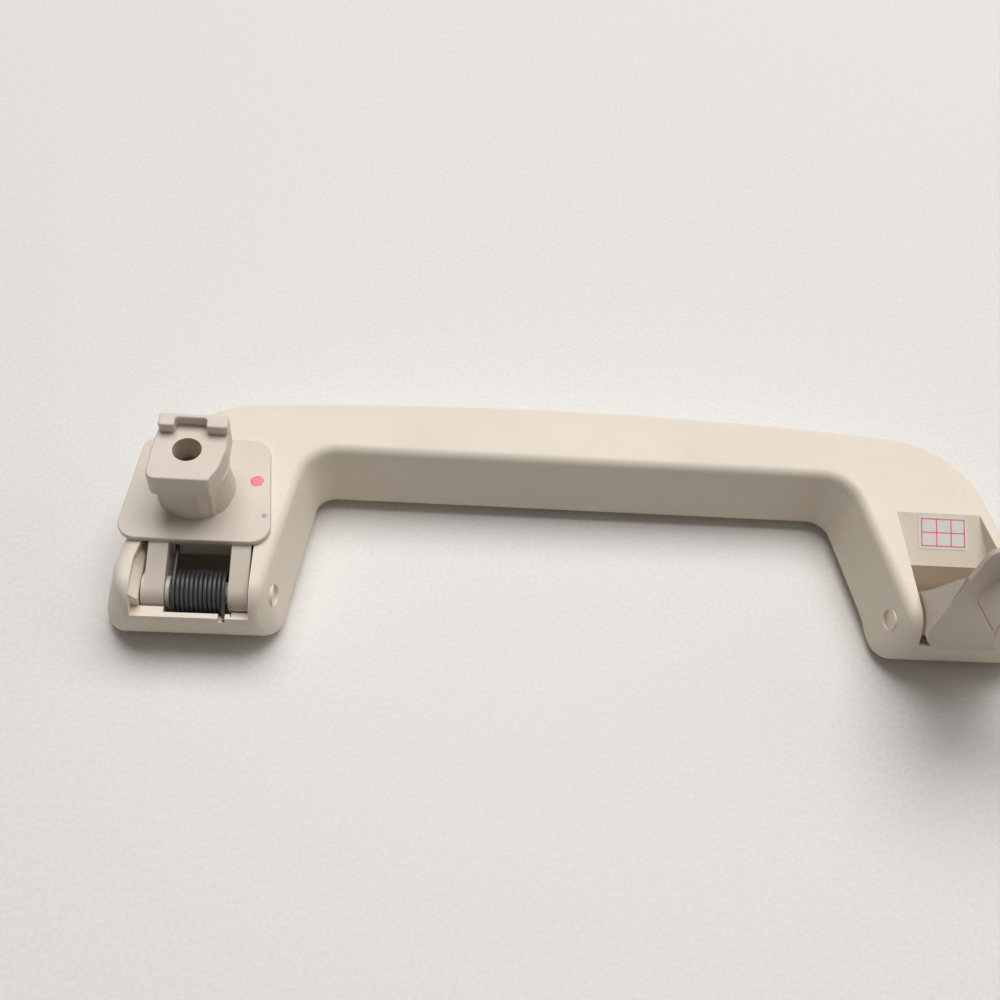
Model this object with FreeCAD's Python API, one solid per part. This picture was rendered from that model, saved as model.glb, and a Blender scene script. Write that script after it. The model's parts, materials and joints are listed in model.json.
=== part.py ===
import FreeCAD, Part
import math
import os

# Roof grab handle of a car, lying on its front face with the mounting side up.
# X runs along the handle, Y from the hinge axis towards the grip bar, Z up.
# The origin is on the table plane, midway between the ends, below the hinge axis.
# Sizes in mm. Driving sizes come first, and the fitted places after them.

# Body
body_height = 21.0
floor_thickness = 2.3
body_edge_radius = 3.0
pocket_edge_radius = 0.3

# Outline of the body at its top face
grip_inner_y = 41.8
grip_outer_y = 60.9
grip_arch_radius = 1066.0
grip_arch_half_length = 84.0
leg_inner_front_x = 84.6
leg_inner_back_x = 75.8
leg_outer_front_x = 121.9
leg_outer_back_x = 109.6
shoulder_radius = 26.0
finger_corner_radius = 10.0

# Noses of the legs
nose_front_y = -8.4
nose_radius = 8.0
outline_front_run = 3.0
nose_inner_corner_radius = 12.0
nose_outer_corner_radius = 14.0

# Growth of the outline from the top face down to the front face
flare_finger = 5.5
flare_end = 5.5
flare_back = 2.5

# Hinge pockets: a trough for the hinge in front and a ramp behind it
hinge_depth = 8.0
inner_wall_thickness = 1.9
outer_wall_thickness = 6.4
wall_pad_thickness = 1.9
wall_pad_rise = 4.0
wall_pad_top_drop = 1.5
pocket_back_y = 17.0
ramp_back_y = 30.0
ramp_slope = 0.523
pocket_front_radius = 6.2
pocket_taper_y = 4.0
pocket_taper = 5.2

# Front rim of a pocket, with its stop step and its ledge
rim_inner_y = -6.6
rim_rise = 1.0
rim_stop_y = -5.05
rim_stop_length = 8.0
rim_ledge_length = 4.6
rim_ledge_y = -7.4
rim_ledge_drop = 0.8

# Gas channel in the grip and its needle hole
gas_channel_radius = 5.0
gas_channel_wall = 3.2
gas_channel_end_wall = 9.8
gas_channel_drop = 0.5
gas_needle_radius = 1.5

# Hinge pins and plugs
pin_radius = 2.0
pin_fit = 0.05
pin_press = 0.02
pin_end_gap = 0.3
pin_blind_depth = 4.0
plug_radius = 2.8
plug_length = 2.4
plug_recess = 0.15
plug_fit = 0.02

# Plates of the brackets
plate_gap = 0.1
plate_thickness = 1.4
plate_edge_radius = 0.35
plate_shift = 0.8
plate_back_y = 42.2
plate_front_half_width = 19.5
plate_back_half_width = 16.3
plate_corner_radius = 5.0
left_plate_front_y = 9.5
right_plate_front_y = 0.7
right_plate_front_half_width = 16.6
right_plate_corner_radius = 7.5

# Arms of the brackets and the wall between them
inner_arm_thickness = 4.8
outer_arm_thickness = 5.6
arm_web_inset = 0.7
arm_inner_gap = 0.6
arm_outer_gap = 0.4
hub_radius = 4.7
gusset_gap = 0.5
gusset_knee_y = 13.0
gusset_heel_y = 8.5
gusset_heel_drop = 3.4
cross_wall_y = 10.4
cross_wall_thickness = 1.6
cross_wall_rise = 1.6

# Screw boss and its head block
boss_shift = 0.95
boss_y = 25.5
boss_base_radius = 10.2
boss_top_radius = 9.3
head_rise = 17.7
head_height = 6.7
head_front = 9.3
head_back = 9.1
head_left = 9.65
head_right = 8.95
head_corner_radius = 2.4
head_edge_radius = 0.5
head_facet_width = 3.3
head_facet_depth = 10.0
head_rib_setback = 0.7
screw_hole_shift = 0.55
screw_hole_radius = 3.6
screw_seat_thickness = 7.5
driver_bore_radius = 7.2

# Panel hook on the head
hook_height = 3.0
hook_depth = 4.1
hook_web = 1.4
hook_left = 8.15
hook_notch_left = 4.15
hook_notch_right = 3.65
hook_corner_radius = 0.8
hook_edge_radius = 0.5

# Torsion spring and its bush
wire_radius = 0.55
wire_gap = 0.02
coil_outer_radius = 5.65
coil_end_gap = 0.7
spring_leg_run = 1.0
spring_leg_sink = 0.7
spring_leg_over = 1.4
spring_notch_gap = 0.3
spring_hole_gap = 0.15
bush_fit = 0.1
bush_wall = 0.75
bush_flange_radius = 3.9
bush_flange_thickness = 1.0
bush_end_gap = 0.15

# Silicone damper and its cradle
damper_trough_gap = 0.6
damper_wall = 1.3
damper_end_gap = 0.2
damper_key_width = 3.0
damper_key_inset = 1.0
damper_key_floor_gap = 0.3
cradle_gap = 0.05
cradle_rib = 1.5
cradle_drop = 0.8
rotor_key_width = 3.0
rotor_key_depth = 1.6
rotor_key_gap = 0.1
rotor_neck_step = 1.0
oil_gap = 0.25
oil_end_gap = 0.2
cap_thickness = 2.4
cap_lip = 0.7
seal_wire_radius = 0.75
seal_gap = 0.02

# Label on the ramp of the right pocket
label_thickness = 0.1
label_width = 14.0
label_depth = 8.2
label_margin = 0.7

right_open_deg = 84.0

# Depth by which joined solids run into each other before they are fused
weld = 0.5
# Length by which a cutting solid runs past the faces that it cuts
over = 1.0

# Fitted places
hinge_height = body_height - hinge_depth
pocket_inner_x = leg_inner_front_x + inner_wall_thickness
pocket_outer_x = leg_outer_front_x - outer_wall_thickness
pocket_back_outer_x = pocket_outer_x - pocket_taper
wall_pad_low_x = pocket_outer_x - wall_pad_thickness
wall_pad_z = hinge_height + wall_pad_rise
rim_top_z = hinge_height + rim_rise
rim_ledge_z = hinge_height - rim_ledge_drop
arm_inner_x = pocket_inner_x + arm_inner_gap
arm_outer_x = wall_pad_low_x - arm_outer_gap
arm_inner_face_x = arm_inner_x + inner_arm_thickness
arm_outer_face_x = arm_outer_x - outer_arm_thickness
gusset_heel_z = hinge_height - gusset_heel_drop
cross_wall_low_z = hinge_height + cross_wall_rise
plate_low_z = body_height + plate_gap
plate_top_z = plate_low_z + plate_thickness
bracket_centre_x = (pocket_inner_x + pocket_outer_x) / 2 + plate_shift
boss_x = bracket_centre_x + boss_shift
screw_hole_x = boss_x + screw_hole_shift
head_top_z = body_height + head_rise
head_low_z = head_top_z - head_height
head_left_x = boss_x + head_left
head_right_x = boss_x - head_right
head_front_y = boss_y - head_front
head_back_y = boss_y + head_back
hook_top_z = head_top_z + hook_height
hook_left_x = boss_x + hook_left
hook_notch_left_x = boss_x + hook_notch_left
hook_notch_right_x = boss_x - hook_notch_right
hook_front_y = head_back_y - hook_depth
hook_notch_y = head_back_y - hook_web
gas_channel_y = grip_inner_y + gas_channel_wall + gas_channel_radius
gas_channel_z = body_height / 2 - gas_channel_drop
gas_channel_half_length = leg_inner_back_x - gas_channel_end_wall
coil_radius = coil_outer_radius - wire_radius
coil_pitch = 2 * wire_radius + wire_gap
coil_right_x = arm_inner_face_x + coil_end_gap
coil_room = arm_outer_face_x - bush_end_gap - bush_flange_thickness - coil_right_x
coil_whole_turns = int(coil_room / coil_pitch) - 1
front_leg_y = rim_inner_y - spring_leg_run
front_leg_z = rim_top_z - spring_leg_sink
spring_notch_z = front_leg_z - wire_radius - spring_notch_gap
rear_leg_y = cross_wall_y + cross_wall_thickness + spring_leg_over
damper_radius = -rim_inner_y - damper_trough_gap
damper_x0 = arm_inner_face_x + damper_end_gap
damper_x1 = arm_outer_face_x - damper_end_gap
damper_key_low_z = floor_thickness + damper_key_floor_gap
cradle_top_z = hinge_height - damper_radius - cradle_drop
rotor_neck_radius = damper_radius - damper_wall - rotor_neck_step

X = FreeCAD.Vector(1, 0, 0)
Y = FreeCAD.Vector(0, 1, 0)
Z = FreeCAD.Vector(0, 0, 1)
hinge_origin = FreeCAD.Vector(0, 0, hinge_height)


def vec(x, y, z=0.0):
    return FreeCAD.Vector(x, y, z)


def block(x0, x1, y0, y1, z0, z1):
    return Part.makeBox(x1 - x0, y1 - y0, z1 - z0, vec(x0, y0, z0))


def rod(radius, x0, x1, y=0.0, z=hinge_height):
    return Part.makeCylinder(radius, x1 - x0, vec(x0, y, z), X)


def rounded_wire(corners, z=0.0):
    """Closed wire through (x, y, radius) corners, each corner rounded by its radius."""
    count = len(corners)
    edges = []
    trimmed = []
    for i in range(count):
        before = vec(corners[i - 1][0], corners[i - 1][1], z)
        here = vec(corners[i][0], corners[i][1], z)
        after = vec(corners[(i + 1) % count][0], corners[(i + 1) % count][1], z)
        radius = corners[i][2]
        to_before = (before - here).normalize()
        to_after = (after - here).normalize()
        if radius == 0:
            trimmed.append((here, here, here))
            continue
        half = to_before.getAngle(to_after) / 2
        reach = radius / math.tan(half)
        middle = (to_before + to_after).normalize() * (radius / math.sin(half) - radius)
        trimmed.append((here + to_before * reach, here + middle, here + to_after * reach))
    for i in range(count):
        start, middle, end = trimmed[i]
        following = trimmed[(i + 1) % count][0]
        if (start - end).Length > 1e-6:
            edges.append(Part.Arc(start, middle, end).toShape())
        if (end - following).Length > 1e-6:
            edges.append(Part.makeLine(end, following))
    return Part.Wire(edges)


def prism(corners, z0, z1):
    """Upright prism over a rounded outline."""
    return Part.Face(rounded_wire(corners, z0)).extrude(vec(0, 0, z1 - z0))


def mirrored(shape):
    """The same shape at the other end of the handle."""
    return shape.mirror(vec(0, 0, 0), X)


def side_prism(corners, x0, x1):
    """Prism along X over a rounded outline given as (y, z, radius) corners."""
    solid = Part.Face(rounded_wire(corners)).extrude(vec(0, 0, x1 - x0))
    turn = FreeCAD.Rotation(vec(1, 1, 1), 120)
    solid.Placement = FreeCAD.Placement(vec(x0, 0, 0), turn)
    return solid


def leg_slope():
    """Lean of a leg's finger side: X gained for each mm towards the nose."""
    return (leg_inner_front_x - leg_inner_back_x) / (grip_inner_y - nose_front_y)


def body_wire(z):
    """Outline at height z: arched grip bar between two splayed legs, run out past the noses."""
    share = 1.0 - z / body_height
    finger = flare_finger * share
    end = flare_end * share
    front_y = nose_front_y - outline_front_run
    arch_angle = math.asin(grip_arch_half_length / grip_arch_radius)
    apex_y = grip_outer_y + flare_back * share + grip_arch_radius * (1 / math.cos(arch_angle) - 1)
    shoulder_x = leg_outer_back_x + end
    shoulder_y = apex_y - math.tan(arch_angle) * shoulder_x
    end_slope = (leg_outer_front_x - leg_outer_back_x) / (shoulder_y - nose_front_y)
    half = [
        (-leg_inner_back_x + finger - leg_slope() * finger, grip_inner_y - finger,
         finger_corner_radius - finger),
        (-leg_inner_front_x - leg_slope() * outline_front_run + finger, front_y, nose_inner_corner_radius),
        (-leg_outer_front_x - end_slope * outline_front_run - end, front_y, nose_outer_corner_radius),
        (-shoulder_x, shoulder_y, shoulder_radius),
    ]
    apex = [(0, apex_y, grip_arch_radius)]
    other = [(-x, y, radius) for x, y, radius in reversed(half)]
    return rounded_wire(half + apex + other, z)


def nose_curve(x):
    """Round front of the legs, seen along X, as one smooth arc from the front face to the top."""
    seam_y = nose_front_y + nose_radius
    bulge = nose_radius / 0.75
    curve = Part.BezierCurve()
    curve.setPoles([vec(x, seam_y, 0), vec(x, seam_y - bulge, 0),
                    vec(x, seam_y - bulge, body_height), vec(x, seam_y, body_height)])
    return curve.toBSpline().toShape()


def nose_envelope():
    """Prism that contains the body and gives its legs their round noses."""
    x = -leg_outer_front_x - 30
    arc = nose_curve(x)
    far_y = grip_outer_y + 20
    corners = [arc.lastVertex().Point, vec(x, far_y, body_height), vec(x, far_y, 0), arc.firstVertex().Point]
    outline = Part.Wire([arc] + [Part.makeLine(a, b) for a, b in zip(corners, corners[1:])])
    return Part.Face(outline).extrude(vec(-2 * x, 0, 0))


def is_body_edge(edge, nose):
    """True for the edges where the flanks meet the back, the nose or the front face."""
    samples = edge.discretize(7)
    seam_y = nose_front_y + nose_radius
    flat = all(abs(p.z) < 1e-3 for p in samples) or all(abs(p.z - body_height) < 1e-3 for p in samples)
    if flat:
        return not all(abs(p.y - seam_y) < 1e-3 for p in samples)
    steep = abs(samples[0].z - samples[-1].z) > 1e-3
    return steep and all(nose.distToShape(Part.Vertex(p))[0] < 1e-3 for p in samples)


def body_blank():
    """Drafted body with a round nose on each leg and rounded edges."""
    blank = Part.makeLoft([body_wire(0.0), body_wire(body_height)], True, True)
    blank = blank.common(nose_envelope()).Solids[0]
    end_x = leg_outer_front_x + 30
    nose = nose_curve(-end_x).extrude(vec(2 * end_x, 0, 0))
    edges = [edge for edge in blank.Edges if is_body_edge(edge, nose)]
    return blank.makeFillet(body_edge_radius, edges)


def ramp_z(y):
    """Height of the sloping pocket floor behind the hinge."""
    return body_height - ramp_slope * (ramp_back_y - y)


def span(side, near, far):
    """X limits of a stretch given by its distances from the middle, at the left or right end."""
    return min(side * near, side * far), max(side * near, side * far)


def pocket(side, rim_y, near, far):
    """Room for a folded bracket: hinge trough in front, ramp behind."""
    top = body_height + 5
    profile = [
        (rim_y, top, 0),
        (rim_y, floor_thickness, pocket_front_radius + rim_y - rim_inner_y),
        (pocket_back_y, floor_thickness, 1.0),
        (pocket_back_y, ramp_z(pocket_back_y), 0),
        (ramp_back_y, body_height, 0),
        (ramp_back_y, top, 0),
    ]
    return side_prism(profile, *span(side, near, far))


def pocket_room(side):
    """Everything that a pocket takes out of the body, with its stepped rim."""
    top = body_height + 5
    near = pocket_inner_x + rim_ledge_length
    far = pocket_outer_x - rim_stop_length
    full = span(side, pocket_inner_x, pocket_outer_x)
    ledge_x = span(side, pocket_inner_x, near)
    above_rim = block(*full, nose_front_y - 5, 0, rim_top_z, top)
    ledge = block(*ledge_x, rim_ledge_y, 0, rim_ledge_z, top)
    room = pocket(side, rim_stop_y, pocket_inner_x, pocket_outer_x).common(pocket_plan(side, 0.0))
    return room.fuse([pocket(side, rim_inner_y, near, far), above_rim, ledge]).cut(wall_pad(side))


def pocket_plan(side, gap):
    """Upright prism that keeps a pocket, or the arms in it, inside the slanting outer wall."""
    front_y = nose_front_y - 5
    corners = [
        (side * pocket_inner_x, front_y, 0),
        (side * (pocket_outer_x - gap), front_y, 0),
        (side * (pocket_outer_x - gap), pocket_taper_y, 0),
        (side * (pocket_back_outer_x - gap), ramp_back_y, 0),
        (side * (pocket_back_outer_x - gap), ramp_back_y + 1, 0),
        (side * pocket_inner_x, ramp_back_y + 1, 0),
    ]
    return prism(corners, -1, body_height + 10)


def wall_pad(side):
    """Wedge that thickens the pocket's outer wall at the depth of the hinge."""
    outer_x = side * (pocket_outer_x + over)
    low_z = floor_thickness - over
    high_z = body_height - wall_pad_top_drop
    corners = [vec(outer_x, 0, low_z), vec(side * wall_pad_low_x, 0, low_z),
               vec(side * wall_pad_low_x, 0, wall_pad_z), vec(side * pocket_outer_x, 0, high_z),
               vec(outer_x, 0, high_z), vec(outer_x, 0, low_z)]
    pad = Part.Face(Part.makePolygon(corners)).extrude(vec(0, pocket_back_y + over - rim_stop_y, 0))
    pad.translate(vec(0, rim_stop_y, 0))
    return pad


def pin_room(side):
    """Press bore for a pin, blind in the outer wall, and the plug's counterbore."""
    outside_x = leg_inner_front_x - 12
    bore = rod(pin_radius + pin_press, *span(side, pocket_outer_x + pin_blind_depth, outside_x))
    return bore.fuse(rod(plug_radius + plug_fit, *span(side, plug_inner_x(), outside_x)))


def flank_x():
    """Distance from the middle to a leg's finger side where the pin goes in."""
    share = 1.0 - hinge_height / body_height
    return leg_inner_front_x + leg_slope() * nose_front_y - flare_finger * share


def plug_inner_x():
    """Distance from the middle to the plug's inner end."""
    return flank_x() + plug_recess + plug_length


def gas_channel():
    """Hollow left by the gas in the thick grip, with the needle hole into the right pocket."""
    half = gas_channel_half_length
    bar = rod(gas_channel_radius, -half, half, gas_channel_y, gas_channel_z)
    for x in (-half, half):
        bar = bar.fuse(Part.makeSphere(gas_channel_radius, vec(x, gas_channel_y, gas_channel_z)))
    start = vec(half, gas_channel_y, gas_channel_z)
    end = vec(pocket_inner_x + 2 * gas_needle_radius, pocket_back_y - over, gas_channel_z)
    needle = Part.makeCylinder(gas_needle_radius, (end - start).Length, start, end - start)
    return bar.fuse(needle)


def damper_cradle():
    """Two ribs on the right pocket's floor that hold the damper's key."""
    half = damper_key_width / 2 + cradle_gap
    x0 = damper_x0 + cap_thickness
    low_z = floor_thickness - weld
    front = block(x0, damper_x1, -half - cradle_rib, -half, low_z, cradle_top_z)
    back = block(x0, damper_x1, half, half + cradle_rib, low_z, cradle_top_z)
    return front.fuse(back)


def is_pocket_edge(edge):
    """True for the edges of the left pocket's mouth, in the body's top face behind the hinge."""
    box = edge.BoundBox
    within = box.XMin > -pocket_outer_x - 0.01 and box.XMax < -pocket_inner_x + 0.01
    return within and box.ZMin > body_height - 0.01 and box.YMin > pocket_taper_y - 0.01


def spring_notch():
    """Notch in the left rim for the spring's front leg."""
    half = wire_radius + spring_notch_gap
    return block(coil_x(0) - half, coil_x(0) + half, front_leg_y - half, 0, spring_notch_z, body_height)


def make_body():
    """One moulding: both ends alike, then the spring's notch, the damper's cradle and the hollow."""
    reach = leg_outer_front_x + flare_end + over
    far_y = grip_outer_y + flare_back + over
    left = body_blank().cut(block(0, reach, nose_front_y - over, far_y, -over, body_height + over))
    left = left.cut(pocket_room(-1))
    left = left.makeFillet(pocket_edge_radius, [edge for edge in left.Edges if is_pocket_edge(edge)])
    left = left.cut(pin_room(-1))
    body = left.fuse(mirrored(left)).removeSplitter()
    return body.cut(spring_notch()).fuse(damper_cradle()).cut(gas_channel())


def coil_x(turns):
    """Place of the coil's wire centre, counted in turns from its right end."""
    return -coil_right_x - wire_radius - turns * coil_pitch


def spring_reach():
    """Distance of the front leg's tip from the hinge axis."""
    return math.hypot(front_leg_y, front_leg_z - hinge_height)


def spring_start():
    """Angle about the hinge axis at which the front leg leaves the coil."""
    return math.atan2(front_leg_z - hinge_height, front_leg_y) - math.acos(coil_radius / spring_reach())


def spring_turns():
    return coil_whole_turns + (spring_start() - math.pi / 2) / (2 * math.pi)


def spring_rear_leg(radius):
    """Straight end of the spring through the cross wall, or its clearance hole."""
    lean = X * -(coil_pitch / (2 * math.pi * coil_radius))
    root = vec(coil_x(spring_turns()), 0, hinge_height + coil_radius)
    return Part.makeCylinder(radius, rear_leg_y, root, Y + lean)


def make_spring():
    """Close-wound torsion spring: front leg in the rim notch, rear leg through the cross wall."""
    start = spring_start()
    turns = spring_turns()
    helix = Part.makeHelix(coil_pitch, turns * coil_pitch, coil_radius)
    out = vec(0, math.cos(start), math.sin(start))
    along = X * -1
    side = along.cross(out)
    helix.Placement = FreeCAD.Placement(vec(coil_x(0), 0, hinge_height), FreeCAD.Rotation(out, side, along, "ZXY"))
    first = vec(coil_x(0), 0, hinge_height) + out * coil_radius
    forward = side + along * (coil_pitch / (2 * math.pi * coil_radius))
    front_tip = first - forward * math.sqrt(spring_reach() ** 2 - coil_radius ** 2)
    section = Part.Wire(Part.Circle(first, forward, wire_radius).toShape())
    coil = Part.Wire(helix.Edges).makePipeShell([section], True, True)
    front_leg = Part.makeCylinder(wire_radius, (first - front_tip).Length, front_tip, first - front_tip)
    return coil.fuse([front_leg, spring_rear_leg(wire_radius)])


def top_edges(solid, z):
    """Edges that lie wholly at this height."""
    return [edge for edge in solid.Edges if all(abs(p.z - z) < 1e-3 for p in edge.discretize(3))]


def plate(front_y, front_half_width, front_radius):
    """Bracket plate on the left end: tapered towards the grip, with round corners and a soft rim."""
    slope = (plate_front_half_width - plate_back_half_width) / (plate_back_y - left_plate_front_y)
    back_half = min(plate_back_half_width, front_half_width - slope * (plate_back_y - front_y))
    corners = [
        (-bracket_centre_x - front_half_width, front_y, front_radius),
        (-bracket_centre_x + front_half_width, front_y, front_radius),
        (-bracket_centre_x + back_half, plate_back_y, plate_corner_radius),
        (-bracket_centre_x - back_half, plate_back_y, plate_corner_radius),
    ]
    solid = prism(corners, plate_low_z, plate_top_z)
    return solid.makeFillet(plate_edge_radius, top_edges(solid, plate_top_z))


def arm(x0, x1, inset):
    """Hinge arm: hub round the pin and a gusset up to the plate, set in from the hub's outer face."""
    hub = rod(hub_radius, x0, x1)
    rise = plate_low_z - hinge_height
    reach = math.hypot(left_plate_front_y, rise)
    tangent = math.atan2(rise, left_plate_front_y) + math.acos(hub_radius / reach)
    touch_y = hub_radius * math.cos(tangent)
    touch_z = hinge_height + hub_radius * math.sin(tangent)
    tip_z = plate_low_z + plate_thickness / 2
    foot_y = ramp_back_y - gusset_gap / ramp_slope
    web = side_prism([
        (touch_y, touch_z, 0),
        (left_plate_front_y, plate_low_z, 0),
        (left_plate_front_y + over, tip_z, 0),
        (foot_y + over, tip_z, 0),
        (foot_y, ramp_z(foot_y) + gusset_gap, 0),
        (gusset_knee_y, ramp_z(gusset_knee_y) + gusset_gap, 6.0),
        (gusset_heel_y, gusset_heel_z, 3.0),
        (0, hinge_height - hub_radius + weld, 0),
        (0, hinge_height, 0),
    ], x0 + inset, x1)
    return hub.fuse(web.common(pocket_plan(-1, gusset_gap)))


def boss():
    """Drafted round boss that carries the head block, which overhangs it at the front and left."""
    column = Part.makeCone(boss_base_radius, boss_top_radius, head_low_z + weld - plate_low_z,
                           vec(-boss_x, boss_y, plate_low_z), Z)
    facet_x = -head_right_x - head_facet_width
    head = prism([
        (-head_left_x, head_front_y, head_corner_radius),
        (facet_x, head_front_y, 1.0),
        (facet_x + head_facet_width * 2 / 3, head_front_y + head_facet_depth * 0.44, 0),
        (-head_right_x, head_front_y + head_facet_depth, 2.0),
        (-head_right_x, head_back_y, hook_corner_radius),
        (-hook_left_x, head_back_y, hook_corner_radius),
        (-head_left_x + 0.3, head_back_y - head_back, 3.0),
    ], head_low_z, head_top_z)
    head = head.makeFillet(head_edge_radius, top_edges(head, head_top_z))
    rib_y = head_front_y + head_rib_setback
    rib = prism([
        (facet_x - head_facet_width, rib_y, 0),
        (facet_x, rib_y, 0.5),
        (facet_x + head_facet_width * 2 / 3, rib_y + head_facet_depth * 0.44, 0),
        (facet_x - head_facet_width, rib_y + head_facet_depth * 0.44, 0),
    ], plate_low_z, head_low_z + weld)
    return column.fuse([head, rib])


def hook():
    """Panel hook behind the screw hole: two lugs joined by a thin web."""
    outline = [
        (-hook_left_x, hook_front_y),
        (-hook_notch_left_x, hook_front_y),
        (-hook_notch_left_x, hook_notch_y),
        (-hook_notch_right_x, hook_notch_y),
        (-hook_notch_right_x, hook_front_y),
        (-head_right_x, hook_front_y),
        (-head_right_x, head_back_y),
        (-hook_left_x, head_back_y),
    ]
    solid = prism([(x, y, hook_corner_radius) for x, y in outline], head_top_z - over, hook_top_z)
    return solid.makeFillet(hook_edge_radius, top_edges(solid, hook_top_z))


def make_bracket(front_y, front_half_width, front_radius):
    """Left bracket in its folded place."""
    solid = plate(front_y, front_half_width, front_radius)
    wall = block(-arm_outer_face_x - weld, -arm_inner_face_x + weld, cross_wall_y,
                 cross_wall_y + cross_wall_thickness, cross_wall_low_z, plate_low_z + weld)
    arms = [arm(-arm_outer_x, -arm_outer_face_x, arm_web_inset), arm(-arm_inner_face_x, -arm_inner_x, 0)]
    solid = solid.fuse(arms + [wall, boss(), hook()])
    seat_z = head_top_z - screw_seat_thickness
    solid = solid.cut(Part.makeCylinder(driver_bore_radius, seat_z - cross_wall_low_z,
                                        vec(-screw_hole_x, boss_y, cross_wall_low_z), Z))
    solid = solid.cut(Part.makeCylinder(screw_hole_radius, screw_seat_thickness + 2 * over,
                                        vec(-screw_hole_x, boss_y, seat_z - over), Z))
    return solid.cut(rod(pin_radius + pin_fit, -arm_outer_x - over, -arm_inner_x + over))


def make_left_bracket():
    bracket = make_bracket(left_plate_front_y, plate_front_half_width, plate_corner_radius)
    return bracket.cut(spring_rear_leg(wire_radius + spring_hole_gap)).removeSplitter()


def opened(shape):
    """Swing a folded right-hand piece out to its resting place on the rim."""
    turned = shape.copy()
    turned.rotate(hinge_origin, X, right_open_deg)
    return turned


def rotor_slot(gap):
    """Slot in the right bracket's inner arm, or the rotor's tongue when the gap is zero."""
    half = rotor_key_width / 2 + gap
    tall = hub_radius - damper_wall + weld + gap
    return block(arm_inner_face_x - rotor_key_depth - gap, arm_inner_face_x + over,
                 -tall, tall, hinge_height - half, hinge_height + half)


def make_right_bracket():
    """Right bracket, open, with the slot that drives the damper's rotor."""
    bracket = make_bracket(right_plate_front_y, right_plate_front_half_width, right_plate_corner_radius)
    return opened(mirrored(bracket).cut(rotor_slot(rotor_key_gap)))


def make_pin(side):
    """Hinge pin, from behind its plug to the blind bore."""
    return rod(pin_radius, *span(side, plug_inner_x() + pin_end_gap, pocket_outer_x + pin_blind_depth - pin_end_gap))


def make_plug(side):
    """Round plug that closes a pin's bore."""
    return rod(plug_radius, *span(side, plug_inner_x() - plug_length, plug_inner_x()))


def make_bush():
    """Bush between the arms that carries the coil, with one flange."""
    x0 = -arm_outer_face_x + bush_end_gap
    x1 = -arm_inner_face_x - bush_end_gap
    inner = pin_radius + bush_fit
    bush = rod(inner + bush_wall, x0, x1).fuse(rod(bush_flange_radius, x0, x0 + bush_flange_thickness))
    return bush.cut(rod(inner, x0 - over, x1 + over))


def make_damper_housing():
    """Barrel with a closed outer end and the key that stands in the cradle."""
    x0 = damper_x0 + cap_thickness
    barrel = rod(damper_radius, x0, damper_x1)
    half = damper_key_width / 2
    key = block(x0 + damper_key_inset, damper_x1 - damper_key_inset, -half, half,
                damper_key_low_z, hinge_height - damper_radius + over)
    barrel = barrel.fuse(key).cut(rod(damper_radius - damper_wall, x0 - over, damper_x1 - damper_wall))
    return barrel.cut(rod(pin_radius + pin_fit, x0, damper_x1 + over))


def seal_groove_radius():
    return rotor_neck_radius + 2 * seal_wire_radius - weld / 2


def make_damper_cap():
    """Cap of the barrel, bored for the rotor neck, with room for the seal."""
    inner_x = damper_x0 + cap_thickness
    disc = rod(damper_radius, damper_x0, inner_x)
    disc = disc.cut(rod(rotor_neck_radius + pin_fit, damper_x0 - over, inner_x + over))
    return disc.cut(rod(seal_groove_radius(), damper_x0 + cap_lip, inner_x + over))


def make_damper_rotor():
    """Rotor drum, neck and tongue, with a running bore on the pin."""
    drum_x0 = damper_x0 + cap_thickness + oil_end_gap
    drum_x1 = damper_x1 - damper_wall - oil_end_gap
    drum = rod(damper_radius - damper_wall - oil_gap, drum_x0, drum_x1)
    neck = rod(rotor_neck_radius, damper_x0 - rotor_key_gap, drum_x0 + weld)
    tongue = rotor_slot(0.0).common(rod(hub_radius - damper_wall + weld, arm_inner_x, damper_x0))
    solid = drum.fuse([neck, tongue])
    return opened(solid.cut(rod(pin_radius + pin_fit, arm_inner_x, drum_x1 + over)))


def make_damper_seal():
    """O-ring round the rotor neck, inside the cap, pressed a little flat by its groove."""
    x = damper_x0 + cap_lip + seal_wire_radius + seal_gap
    ring = Part.makeTorus(rotor_neck_radius + seal_wire_radius + seal_gap, seal_wire_radius,
                          vec(x, 0, hinge_height), X)
    return ring.common(rod(seal_groove_radius() - seal_gap, x - over, x + over))


def make_label():
    """Paper label on the ramp of the right pocket."""
    top_y = ramp_back_y - label_margin
    low_y = top_y - label_depth
    x0 = arm_inner_face_x + label_margin
    return side_prism([(low_y, ramp_z(low_y), 0), (top_y, ramp_z(top_y), 0),
                       (top_y, ramp_z(top_y) + label_thickness, 0), (low_y, ramp_z(low_y) + label_thickness, 0)],
                      x0, x0 + label_width)


def main():
    os.makedirs("parts", exist_ok=True)
    shapes = {
        "handle_body": make_body(),
        "left_bracket": make_left_bracket(),
        "right_bracket": make_right_bracket(),
        "left_pin": make_pin(-1),
        "right_pin": make_pin(1),
        "left_pin_plug": make_plug(-1),
        "right_pin_plug": make_plug(1),
        "torsion_spring": make_spring(),
        "spring_bush": make_bush(),
        "damper_housing": make_damper_housing(),
        "damper_cap": make_damper_cap(),
        "damper_rotor": make_damper_rotor(),
        "damper_seal": make_damper_seal(),
        "inspection_label": make_label(),
    }
    bounds = Part.makeCompound(list(shapes.values())).optimalBoundingBox()
    centring = vec(0, -(bounds.YMin + bounds.YMax) / 2, 0)
    print("hinge axis y", round(centring.y, 4))
    for name, shape in shapes.items():
        shape.translate(centring)
        shape.exportStep("parts/" + name + ".step")
        print(name, shape.isValid(), len(shape.Solids), round(shape.Volume, 1))


main()
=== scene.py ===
import json
import math

import bmesh
import bpy
from mathutils import Matrix, Vector


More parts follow.
